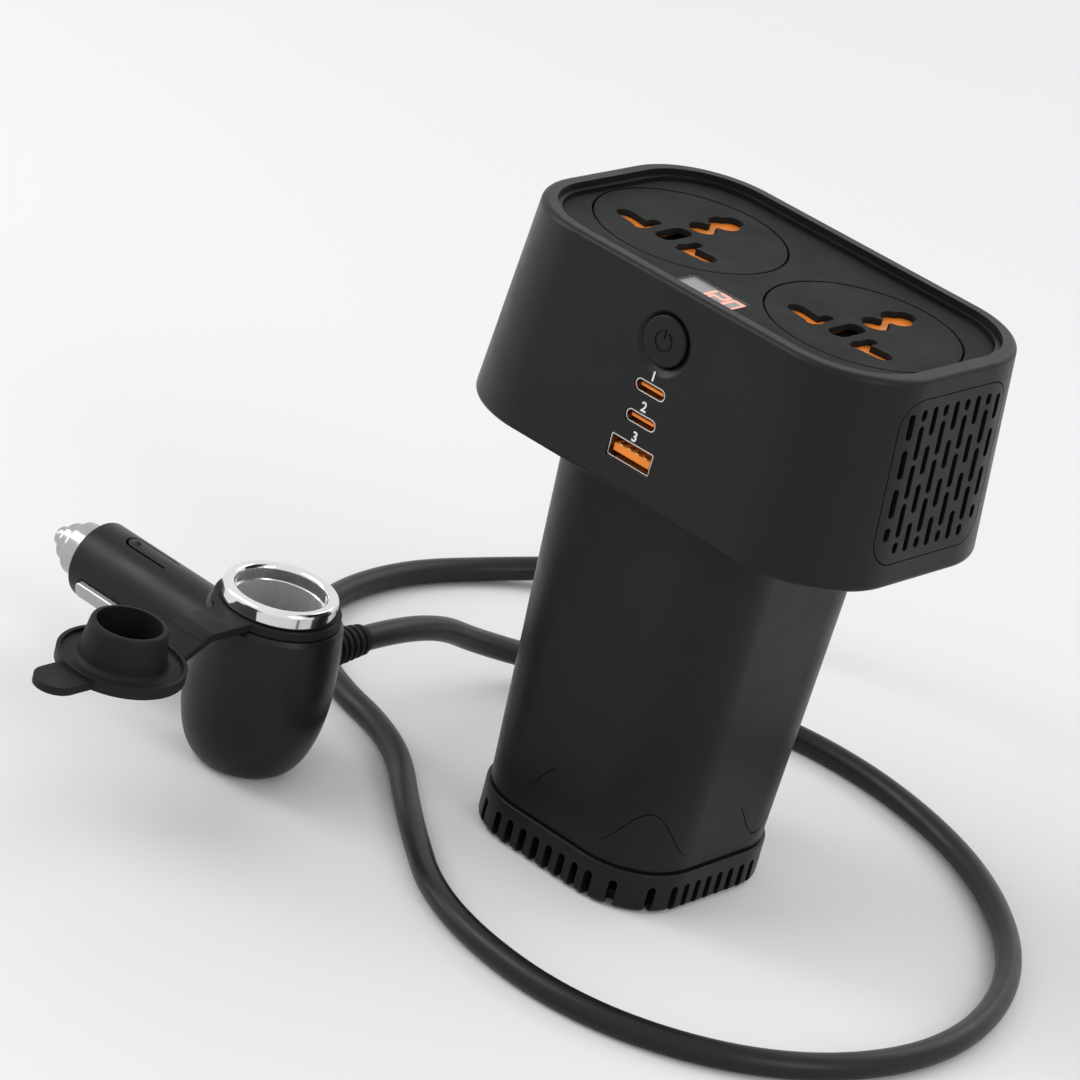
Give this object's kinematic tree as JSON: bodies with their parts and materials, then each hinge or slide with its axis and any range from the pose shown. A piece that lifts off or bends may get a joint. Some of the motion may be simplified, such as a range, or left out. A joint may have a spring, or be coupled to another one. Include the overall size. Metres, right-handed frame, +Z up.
{
  "type": "car power inverter",
  "caption": "Cup-holder power inverter with universal outlets, charging ports, vented ends, cord and vehicle plug adapter with its own capped socket.",
  "frame": {"origin": "centre of the column's foot, on the surface it stands on", "axes": "+Z up the column, +X along the head's long side, the ports face -Y"},
  "size_m": [0.2543, 0.2653, 0.1564],
  "materials": {
    "housing_plastic": "soft-touch, fine texture",
    "plate_plastic": "fine matt",
    "button_plastic": "satin",
    "inner_plastic": "plain moulded",
    "orange_plastic": "satin",
    "adapter_plastic": "satin",
    "rubber": "satin",
    "cord_jacket": "satin",
    "chrome": "polished",
    "plated_steel": "satin nickel",
    "screw_steel": "zinc plated",
    "brass": "plain",
    "copper": "enamelled wire",
    "aluminium": "extruded",
    "ferrite": "sintered",
    "board": "solder mask",
    "component": "moulded case",
    "fuse_glass": "clear",
    "display_glass": "clear",
    "display_panel": "liquid crystal grey",
    "display_figures": "lit"
  },
  "bodies": {
    "housing": {"head_shell": "housing_plastic", "top_bezel": "housing_plastic", "top_plate": "plate_plastic", "socket_face_left": "plate_plastic", "socket_face_right": "plate_plastic", "socket_carrier_left": "inner_plastic", "socket_carrier_right": "inner_plastic", "socket_contacts_left": "brass", "socket_contacts_right": "brass", "shutter_springs_left": "plated_steel", "shutter_springs_right": "plated_steel", "display_module": "display_panel", "display_digits": "display_figures", "display_window": "display_glass", "button_switch": "component", "usb_c_upper_shell": "plated_steel", "usb_c_lower_shell": "plated_steel", "usb_a_shell": "plated_steel", "usb_c_upper_tongue": "orange_plastic", "usb_c_lower_tongue": "orange_plastic", "usb_a_tongue": "orange_plastic", "usb_a_contacts": "brass", "port_board": "board", "board_screws": "screw_steel", "grille_left": "housing_plastic", "grille_right": "housing_plastic", "column_shell": "housing_plastic", "head_screws": "screw_steel", "base_tray": "housing_plastic", "foot_pad": "rubber", "fan_frame": "inner_plastic", "fan_screws": "screw_steel", "main_board": "board", "transformer_core": "ferrite", "transformer_winding": "copper", "capacitors": "component", "transistors": "component", "heat_sink": "aluminium", "adapter_barrel": "adapter_plastic", "socket_sleeve": "plated_steel", "chrome_rim": "chrome", "socket_floor": "inner_plastic", "socket_stud": "brass", "plug_body": "adapter_plastic", "plug_nose": "plated_steel", "tip_spring": "plated_steel", "plug_fuse": "fuse_glass", "fuse_holder": "inner_plastic", "cap_strap": "rubber", "head_strain_relief": "rubber", "adapter_strain_relief": "rubber", "power_cord": "cord_jacket"},
    "button": {"power_button": "button_plastic"},
    "left_shutter": {"shutter_left": "orange_plastic"},
    "right_shutter": {"shutter_right": "orange_plastic"},
    "fan": {"fan_rotor": "component"},
    "tip": {"plug_tip": "plated_steel"},
    "front_contact": {"side_contact_front": "plated_steel"},
    "back_contact": {"side_contact_back": "plated_steel"},
    "cap": {"dust_cap": "rubber"}
  },
  "joints": [
    {"name": "power_button_press", "type": "slide", "parent": "housing", "child": "button", "axis": [0, 1, 0], "range_m": [0, 0.0008], "stiffness_N_per_m": 400},
    {"name": "shutter_left_slide", "type": "slide", "parent": "housing", "child": "left_shutter", "axis": [0, -1, 0], "range_m": [0, 0.01], "stiffness_N_per_m": 40, "deforming": ["shutter_springs_left"]},
    {"name": "shutter_right_slide", "type": "slide", "parent": "housing", "child": "right_shutter", "axis": [0, -1, 0], "range_m": [0, 0.01], "stiffness_N_per_m": 40, "deforming": ["shutter_springs_right"]},
    {"name": "fan_spin", "type": "hinge", "parent": "housing", "child": "fan", "pos_m": [0, 0, 0.019], "axis": [0, 0, 1], "continuous": true},
    {"name": "plug_tip_press", "type": "slide", "parent": "housing", "child": "tip", "axis": [1, 0, 0], "range_m": [0, 0.003], "stiffness_N_per_m": 600, "deforming": ["tip_spring"]},
    {"name": "side_contact_front_press", "type": "slide", "parent": "housing", "child": "front_contact", "axis": [0, 0.9397, 0.342], "range_m": [0, 0.0014], "stiffness_N_per_m": 1500},
    {"name": "side_contact_back_press", "type": "slide", "parent": "housing", "child": "back_contact", "axis": [0, -0.9397, 0.342], "range_m": [0, 0.0014], "stiffness_N_per_m": 1500},
    {"name": "dust_cap_swing", "type": "hinge", "parent": "housing", "child": "cap", "pos_m": [-0.0715, -0.0883, 0.0433], "axis": [-1, 0, 0], "range_deg": [0, 180]}
  ]
}
